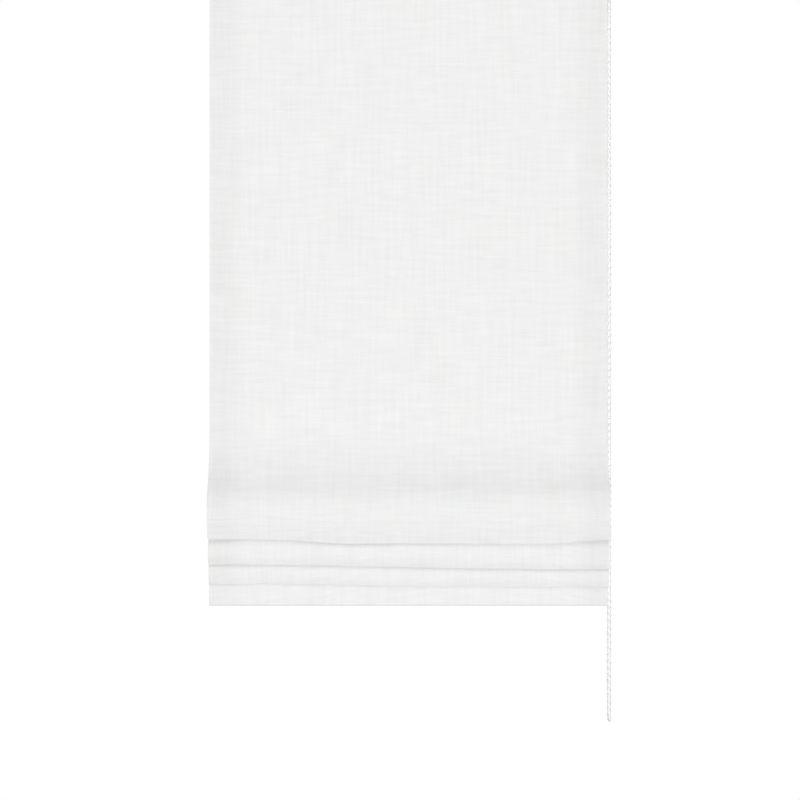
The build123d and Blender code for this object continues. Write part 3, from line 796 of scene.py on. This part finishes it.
def cloth_corners(x):
    """Corners of the sheet's middle line at one place across it: Y, Z and the radius of each turn."""
    fronts = [FOLD_FRONTS[level] + FRONT_WAVE * (1 + ripple(x, level + 11, 0.13)) for level in range(3)]
    stiff_side = 1 - SIDE_STIFFNESS * ease(0.80, 0.97, abs(x) / CLOTH_HALF)
    corners = [
        (CLOTH_Y, SHEET_TOP, 0),
        (CLOTH_Y, HEAD_Z, 0),
        (CLOTH_Y, LEAN_TOP, LEAN_TOP_RADIUS),
        (fronts[0], LEAN_END, LEAN_END_RADIUS),
    ]
    for level, turn_z in enumerate(STACK_TURNS):
        bottom = fold_bottom(level, x)
        front = fronts[level]
        backset = FOLD_BACKSETS[level] * (1 if level else stiff_side)
        inner = front + backset + INNER_WAVE * ripple(x, level + 21, 0.07)
        back = inner + FOLD_WIDTHS[level] - FOLD_BACKSETS[level]
        turn = (back - inner) / 2 - TURN_SLACK
        belly = (front, min(bottom + FOLD_BELLIES[level], BELLY_TOP))
        if level:
            recess = (front + FOLD_RECESSES[level], fold_bottom(level - 1, x) + TUCK)
            corners += [(FAN_BACKS[level - 1], FAN_Z, 0), (recess[0], recess[1] + TUCK_RUN, 0)]
            corners += reversed(swell(belly, recess, 7)[1:])
        corners += swell(belly, (inner, bottom + turn), 12, FOLD_CURLS[level])
        strip = turn_z - PLEAT_TURN
        corners += [
            (inner, bottom, turn),
            (back, bottom, turn),
            (FAN_FRONTS[level], FAN_Z, 0),
            (CLOTH_Y - PLEAT_FRONT, strip, PLEAT_TURN),
            (CLOTH_Y - PLEAT_MIDDLE, turn_z, 0),
            (CLOTH_Y, strip, PLEAT_TURN),
            (CLOTH_Y, strip - PLEAT_FOOT, 0),
        ]
        if level < 2:
            corners.append((CLOTH_Y - PLEAT_LEAVES, strip - PLEAT_LEAVES_BELOW, 0))
    hem_top = (HEM_FRONT + HEM_TOP_SET, fold_bottom(2, x) + TUCK)
    corners += [(FAN_BACKS[2], FAN_Z, 0), (hem_top[0], hem_top[1] + TUCK_RUN, 0)]
    corners += reversed(swell((HEM_FRONT, HEM_TOP), hem_top, 4)[1:])
    corners += [
        (HEM_FRONT, HEM_TOP, 0),
        (HEM_FRONT, HEM_BOTTOM, HEM_RADIUS),
        (HEM_BACK, HEM_BOTTOM, HEM_RADIUS),
        (HEM_BACK, HEM_SEAM, 0),
        (HEM_FRONT + HEM_END_SET, HEM_END, 0),
    ]
    return corners


def cloth_section(x, counts=None):
    """Places down the sheet's middle line, with rounded corners, and the counts that made them."""
    corners = cloth_corners(x)
    runs = []
    leaving = Vector(corners[0][:2])
    for index in range(1, len(corners)):
        here = Vector(corners[index][:2])
        radius = corners[index][2]
        if radius and index + 1 < len(corners):
            back = (Vector(corners[index - 1][:2]) - here).normalized()
            ahead = (Vector(corners[index + 1][:2]) - here).normalized()
            half = back.angle(ahead) / 2
            reach = radius / math.tan(half)
            first, last = here + back * reach, here + ahead * reach
            middle = here + (back + ahead).normalized() * (radius / math.sin(half))
            runs.append(("run", leaving, first))
            runs.append(("arc", first, last, middle, radius, math.pi - 2 * half))
            leaving = last
        else:
            runs.append(("run", leaving, here))
            leaving = here
    made = []
    places = [runs[0][1]]
    for index, run in enumerate(runs):
        if run[0] == "run":
            length = (run[2] - run[1]).length
            count = counts[index] if counts else max(1, round(length / 0.006))
            places += [run[1].lerp(run[2], step / count) for step in range(1, count + 1)]
        else:
            _, first, last, middle, radius, sweep = run
            count = counts[index] if counts else max(6, round(radius * sweep / 0.003))
            start, end = first - middle, last - middle
            turn_sign = 1 if start.x * end.y - start.y * end.x > 0 else -1
            for step in range(1, count + 1):
                angle = turn_sign * sweep * step / count
                turned_by = Matrix.Rotation(angle, 2)
                places.append(middle + turned_by @ start)
        made.append(count)
    return places, made


def cloth_piece(name, stations, first, last, middle=0.0, thick=CLOTH_THICK):
    """A closed sheet of cloth between two rows of the section, with its weave laid along it."""
    rows = last - first + 1
    points, faces, laid = [], [], []
    for x, section, along in stations:
        for side in (1, -1):
            for row in range(first, last + 1):
                before = section[max(row - 1, 0)]
                after = section[min(row + 1, len(section) - 1)]
                run = (after - before).normalized()
                place = section[row] + Vector((-run.y, run.x)) * (middle + side * thick / 2)
                points.append((x, place.x, place.y))
                laid.append((x, -along[row]))
    ring = 2 * rows
    for column in range(len(stations) - 1):
        a, b = column * ring, (column + 1) * ring
        for row in range(rows - 1):
            faces.append((a + row, a + row + 1, b + row + 1, b + row))
            faces.append((a + rows + row, b + rows + row, b + rows + row + 1, a + rows + row + 1))
        faces.append((a, b, b + rows, a + rows))
        faces.append((a + rows - 1, a + 2 * rows - 1, b + 2 * rows - 1, b + rows - 1))
    for a in (0, (len(stations) - 1) * ring):
        for row in range(rows - 1):
            faces.append((a + row, a + rows + row, a + rows + row + 1, a + row + 1))
    piece = mesh_piece(name, points, faces, linen)
    layer = piece.data.uv_layers.new(name="cloth")
    for loop in piece.data.loops:
        layer.data[loop.index].uv = laid[loop.vertex_index]
    piece.data.set_sharp_from_angle(angle=math.radians(50))
    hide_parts("shade_cloth")
    return piece


COLUMNS = 100
middle_section, section_counts = cloth_section(0.0)
stations = []
for column in range(COLUMNS + 1):
    x = CLOTH_HALF * (2 * column / COLUMNS - 1)
    section, _ = cloth_section(x, section_counts)
    along = [0.0]
    for here, there in zip(section, section[1:]):
        along.append(along[-1] + (there - here).length)
    stations.append((x, section, along))
head_row = min(range(60), key=lambda row: abs(middle_section[row].y - HEAD_Z))
panel_row = next(row for row, place in enumerate(middle_section) if place.y <= PANEL_Z)
PANEL_Z = middle_section[panel_row].y
cloth_head = cloth_piece("cloth_head", stations, 0, head_row)
cloth_panel = cloth_piece("cloth_panel", stations, head_row, panel_row)
cloth_stack = cloth_piece("cloth_stack", stations, panel_row, len(middle_section) - 1)
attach(cloth_head, "headrail")
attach(cloth_panel, "headrail")
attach(cloth_stack, "bottom")
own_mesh(cloth_panel)
for side, sign in (("left", -1), ("right", 1)):
    inner, outer = CLOTH_HALF - SIDE_HEM_WIDTH, CLOTH_HALF - SIDE_HEM_INSET
    turned_in = [station for station in stations if inner <= sign * station[0] < outer]
    side_hem = cloth_piece(
        f"side_hem_{side}", turned_in, head_row, panel_row, middle=SIDE_HEM_MIDDLE, thick=SIDE_HEM_THICK
    )
    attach(side_hem, "headrail")
    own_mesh(side_hem)

# Ribs: a glass-fibre rod in the sleeve of a woven tape, sewn across the back of the cloth. Each tape
# has a loop for each lift cord. Two ribs lie on the panel, and three carry the gathered folds.
TAPE_HALF, STRIP_Y, STRIP_HALF_THICK, STRIP_HALF_HEIGHT = 0.345, -0.01935, 0.00035, 0.0035
ROD_Y, ROD_HALF, ROD_RADIUS, ROD_END_RADIUS, ROD_EDGE = -0.01655, 0.343, 0.002, 0.0014, 0.0005
STITCH_PITCH, STITCH_LENGTH, STITCH_RADIUS, STITCH_RISE = 0.0036, 0.0026, 0.00022, 0.003
SLEEVE_OUTER, SLEEVE_INNER = 0.0028, 0.00215
LOOP_HALF_WIDTH, LOOP_HALF_DEPTH, LOOP_THICK, LOOP_HALF_HEIGHT = 0.0031, 0.0019, 0.0008, 0.002

tape_cloth, tape_tree, tape_shader = new_material("woven_tape")
tape_place = add_node(tape_tree, "ShaderNodeTexCoord")
tape_axes = add_node(tape_tree, "ShaderNodeSeparateXYZ", {0: tape_place.outputs["Object"]})
tape_round = maths(tape_tree, "ADD", tape_axes.outputs["Y"], tape_axes.outputs["Z"])
tape_laid = add_node(tape_tree, "ShaderNodeCombineXYZ", {"X": tape_axes.outputs["X"], "Y": tape_round})
tape_weave = place_group(tape_tree, weave, yarn=0.0005, slubs=1.6, place=tape_laid.outputs[0])
tape_tone = add_node(
    tape_tree,
    "ShaderNodeVectorMath",
    {0: (0.85, 0.85, 0.84), "Scale": tape_weave.outputs["Tone"]},
    operation="SCALE",
)
tape_bump = add_node(
    tape_tree, "ShaderNodeBump", {"Height": tape_weave.outputs["Height"], "Distance": 0.0001}
)
tape_tree.links.new(tape_tone.outputs[0], tape_shader.inputs["Base Color"])
tape_tree.links.new(tape_bump.outputs[0], tape_shader.inputs["Normal"])
tape_shader.inputs["Roughness"].default_value = 0.85

glass_fibre = finish_solid(
    "drawn_glass_fibre",
    (0.8, 0.81, 0.75),
    (0.84, 0.85, 0.8),
    roughness=0.3,
    metallic=0.0,
    size=0.0003,
    depth=0.00002,
    stretch=(80, 1, 1),
    patch=0.008,
)


def join(parts):
    """One list of points and one of faces from several."""
    points, faces = [], []
    for part_points, part_faces in parts:
        first = len(points)
        points += part_points
        faces += [tuple(first + corner for corner in face) for face in part_faces]
    return points, faces


def drawn_along(outline, half):
    """Points and faces of a closed outline of (Y, Z) drawn along the shade's width."""
    count = len(outline)
    points = [(x, y, z) for x in (-half, half) for y, z in outline]
    faces = [(k, (k + 1) % count, count + (k + 1) % count, count + k) for k in range(count)]
    faces += [tuple(range(count)), tuple(range(count, 2 * count))]
    return points, faces


def ring_along(outer, inner, half):
    """Points and faces of a hollow tube drawn along the shade's width."""
    count = len(outer)
    points = [(x, y, z) for x in (-half, half) for ring in (outer, inner) for y, z in ring]
    faces = []
    for k in range(count):
        n = (k + 1) % count
        faces.append((k, n, 2 * count + n, 2 * count + k))
        faces.append((count + k, 3 * count + k, 3 * count + n, count + n))
        faces.append((k, count + k, count + n, n))
        faces.append((2 * count + k, 2 * count + n, 3 * count + n, 3 * count + k))
    return points, faces


def webbing_loop(centre_x, centre_y, centre_z):
    """Points and faces of a closed loop of webbing that a cord runs through."""
    points, faces = [], []
    steps = 32
    for step in range(steps):
        turn = 2 * math.pi * step / steps
        across, deep = math.cos(turn), math.sin(turn)
        squareness = (abs(across) ** 3 + abs(deep) ** 3) ** (-1 / 3)
        for inset, rise in ((0, -1), (0, 1), (1, 1), (1, -1)):
            half_width = LOOP_HALF_WIDTH + LOOP_THICK * (0.5 - inset)
            half_depth = LOOP_HALF_DEPTH + LOOP_THICK * (0.5 - inset)
            points.append(
                (
                    centre_x + half_width * across * squareness,
                    centre_y + half_depth * deep * squareness,
                    centre_z + LOOP_HALF_HEIGHT * rise,
                )
            )
    for step in range(steps):
        a, b = 4 * step, 4 * ((step + 1) % steps)
        faces += [(a + k, a + (k + 1) % 4, b + (k + 1) % 4, b + k) for k in range(4)]
    return points, faces


def stitch_row(first, last, pitch, length, radius):
    """Points and faces of a row of stitches, each a short pulled-down hump of thread."""
    first, last = Vector(first), Vector(last)
    along = (last - first).normalized()
    across = along.orthogonal().normalized()
    other = along.cross(across)
    points, faces = [], []
    for number in range(int((last - first).length / pitch)):
        middle = first + along * pitch * (number + 0.5)
        start = len(points)
        for share, size in ((-0.5, 0.25), (-0.25, 0.9), (0.25, 0.9), (0.5, 0.25)):
            for side in range(6):
                turn = math.pi * side / 3
                spoke = across * math.cos(turn) + other * math.sin(turn)
                points.append(middle + along * length * share + spoke * radius * size)
        for ring in range(3):
            for side in range(6):
                n = (side + 1) % 6
                a, b = start + 6 * ring, start + 6 * ring + 6
                faces.append((a + side, a + n, b + n, b + side))
        faces += [tuple(range(start, start + 6)), tuple(range(start + 18, start + 24))]
    return points, faces


RIB_BODIES = ("rib_1", "rib_2", "bottom", "bottom", "bottom")
for number, body in enumerate(RIB_BODIES, start=1):
    low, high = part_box(f"rib_tape_{number}")
    z = (low.z + high.z) / 2
    edge = STRIP_HALF_THICK * 0.6
    strip = [
        (STRIP_Y + y * (STRIP_HALF_THICK - inset_y), z + h * (STRIP_HALF_HEIGHT - inset_z))
        for y, h, inset_y, inset_z in (
            (-1, -1, 0, edge), (-1, 1, 0, edge), (-1, 1, edge, 0), (1, 1, edge, 0),
            (1, 1, 0, edge), (1, -1, 0, edge), (1, -1, edge, 0), (-1, -1, edge, 0),
        )
    ]
    circle = [(math.cos(2 * math.pi * k / 32), math.sin(2 * math.pi * k / 32)) for k in range(32)]
    sleeve_out = [(ROD_Y + SLEEVE_OUTER * a, z + SLEEVE_OUTER * b) for a, b in circle]
    sleeve_in = [(ROD_Y + SLEEVE_INNER * a, z + SLEEVE_INNER * b) for a, b in circle]
    tape_parts = [drawn_along(strip, TAPE_HALF), ring_along(sleeve_out, sleeve_in, TAPE_HALF)]
    for x in (-LIFT_X, LIFT_X):
        tape_parts.append(webbing_loop(x, CORD_Y, z))
    row_y = STRIP_Y + STRIP_HALF_THICK
    for row_z in (z - STITCH_RISE, z + STITCH_RISE):
        row_ends = (-TAPE_HALF, row_y, row_z), (TAPE_HALF, row_y, row_z)
        tape_parts.append(stitch_row(*row_ends, STITCH_PITCH, STITCH_LENGTH, STITCH_RADIUS))
    tape_points, tape_faces = join(tape_parts)
    tape = mesh_piece(f"rib_tape_{number}_woven", tape_points, tape_faces, tape_cloth)
    tape.data.set_sharp_from_angle(angle=math.radians(40))
    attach(tape, body)
    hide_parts(f"rib_tape_{number}")
    rod_profile = [
        (-ROD_HALF, ROD_END_RADIUS),
        (-ROD_HALF + ROD_EDGE, ROD_RADIUS),
        (ROD_HALF - ROD_EDGE, ROD_RADIUS),
        (ROD_HALF, ROD_END_RADIUS),
    ]
    rod_points, rod_faces = turned(rod_profile, (0, ROD_Y, z), (1, 0, 0), sides=32)
    rod = mesh_piece(f"rib_rod_{number}_drawn", rod_points, rod_faces, glass_fibre)
    rod.data.set_sharp_from_angle(angle=math.radians(35))
    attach(rod, body)
    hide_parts(f"rib_rod_{number}")

# Cord stops: small moulded bells under the lowest rib. The lift cords are knotted inside them, and
# they lift the whole stack.
STOP_PROFILE = [
    (0.0, 0.0011), (0.0, 0.0019), (-0.0003, 0.0024), (-0.0012, 0.0031), (-0.0022, 0.0039),
    (-0.0034, 0.0043), (-0.0048, 0.0045), (-0.0066, 0.0045), (-0.0072, 0.0043), (-0.0075, 0.0043),
    (-0.0081, 0.0042), (-0.0087, 0.0038), (-0.009, 0.0032), (-0.009, 0.0026), (-0.0078, 0.0022),
]
for side, x in (("left", -LIFT_X), ("right", LIFT_X)):
    low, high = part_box(f"cord_stop_{side}")
    stop_points, stop_faces = turned(STOP_PROFILE, (x, CORD_Y, high.z), (0, 0, 1))
    stop_name = f"cord_stop_{side}_bell"
    cord_stop = mesh_piece(stop_name, stop_points, stop_faces, moulded_white)
    cord_stop.data.set_sharp_from_angle(angle=math.radians(40))
    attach(cord_stop, "bottom")
    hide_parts(f"cord_stop_{side}")

# Bottom bar: a flat bar of mill-finish aluminium in the hem pocket, which keeps the shade taut. Its
# ends are covered by the push-on plastic caps.
mill_aluminium = finish_solid(
    "mill_aluminium",
    (0.78, 0.79, 0.8),
    (0.86, 0.87, 0.88),
    roughness=0.36,
    metallic=1.0,
    size=0.0004,
    depth=0.00002,
    stretch=(90, 1, 1),
    patch=0.02,
)
dress(("bottom_bar",), mill_aluminium)

# Studio: a pale floor, soft light from the room, the ceiling, both sides and the window behind the
# shade, and a level camera at the height of the panel.
FLOOR_HALF, FLOOR_BACK, FLOOR_Z = 4, 0.9, -1.75
floor_data = bpy.data.meshes.new("floor")
floor_points = [
    (-FLOOR_HALF, -FLOOR_HALF, FLOOR_Z),
    (FLOOR_HALF, -FLOOR_HALF, FLOOR_Z),
    (FLOOR_HALF, FLOOR_BACK, FLOOR_Z),
    (-FLOOR_HALF, FLOOR_BACK, FLOOR_Z),
]
floor_data.from_pydata(floor_points, [], [(0, 1, 2, 3)])
floor = bpy.data.objects.new("floor", floor_data)
scene.collection.objects.link(floor)
floor_paint, _, floor_shader = new_material("pale_floor")
floor_shader.inputs["Base Color"].default_value = (0.8, 0.8, 0.8, 1)
floor_shader.inputs["Emission Color"].default_value = (1, 1, 1, 1)
floor_shader.inputs["Emission Strength"].default_value = 0.2
floor_shader.inputs["Roughness"].default_value = 0.8
floor_data.materials.append(floor_paint)
floor.visible_shadow = False
floor.visible_diffuse = False

world = bpy.data.worlds.new("room")
scene.world = world
world.use_nodes = True
world_tree = world.node_tree
for node in list(world_tree.nodes):
    world_tree.nodes.remove(node)
rays = add_node(world_tree, "ShaderNodeLightPath")
seen = maths(world_tree, "MAXIMUM", rays.outputs["Is Camera Ray"], rays.outputs["Is Glossy Ray"])
seen_through = maths(world_tree, "MAXIMUM", seen, rays.outputs["Is Transmission Ray"])
soft = add_node(world_tree, "ShaderNodeBackground", {"Color": (1, 1, 1, 1), "Strength": 0.14})
white = add_node(world_tree, "ShaderNodeBackground", {"Color": (1, 1, 1, 1), "Strength": 1.0})
mixed = add_node(
    world_tree, "ShaderNodeMixShader", {0: seen_through, 1: soft.outputs[0], 2: white.outputs[0]}
)
add_node(world_tree, "ShaderNodeOutputWorld", {"Surface": mixed.outputs[0]})

room_lights = (
    ("room_light", 0.755, 36, (109, 0)),
    ("ceiling_light", 0.265, 44, (38, 0)),
    ("window_light", 1.0, 60, (-62, 0)),
    ("left_light", 0.2, 16, (0, -90)),
    ("right_light", 0.2, 16, (0, 90)),
)
for light_name, level, spread, tips in room_lights:
    light_data = bpy.data.lights.new(light_name, "SUN")
    light_data.energy = level * math.pi
    light_data.angle = math.radians(spread)
    light = bpy.data.objects.new(light_name, light_data)
    light.rotation_euler = (math.radians(tips[0]), math.radians(tips[1]), 0)
    scene.collection.objects.link(light)

camera_data = bpy.data.cameras.new("camera")
camera_data.lens = 61.4
camera_data.sensor_width = 36
camera_data.shift_x = -0.01075
camera = bpy.data.objects.new("camera", camera_data)
camera.location = (0, -2.420, -0.764)
camera.rotation_euler = (math.radians(90), 0, 0)
scene.collection.objects.link(camera)
scene.camera = camera
scene.view_settings.view_transform = "Standard"
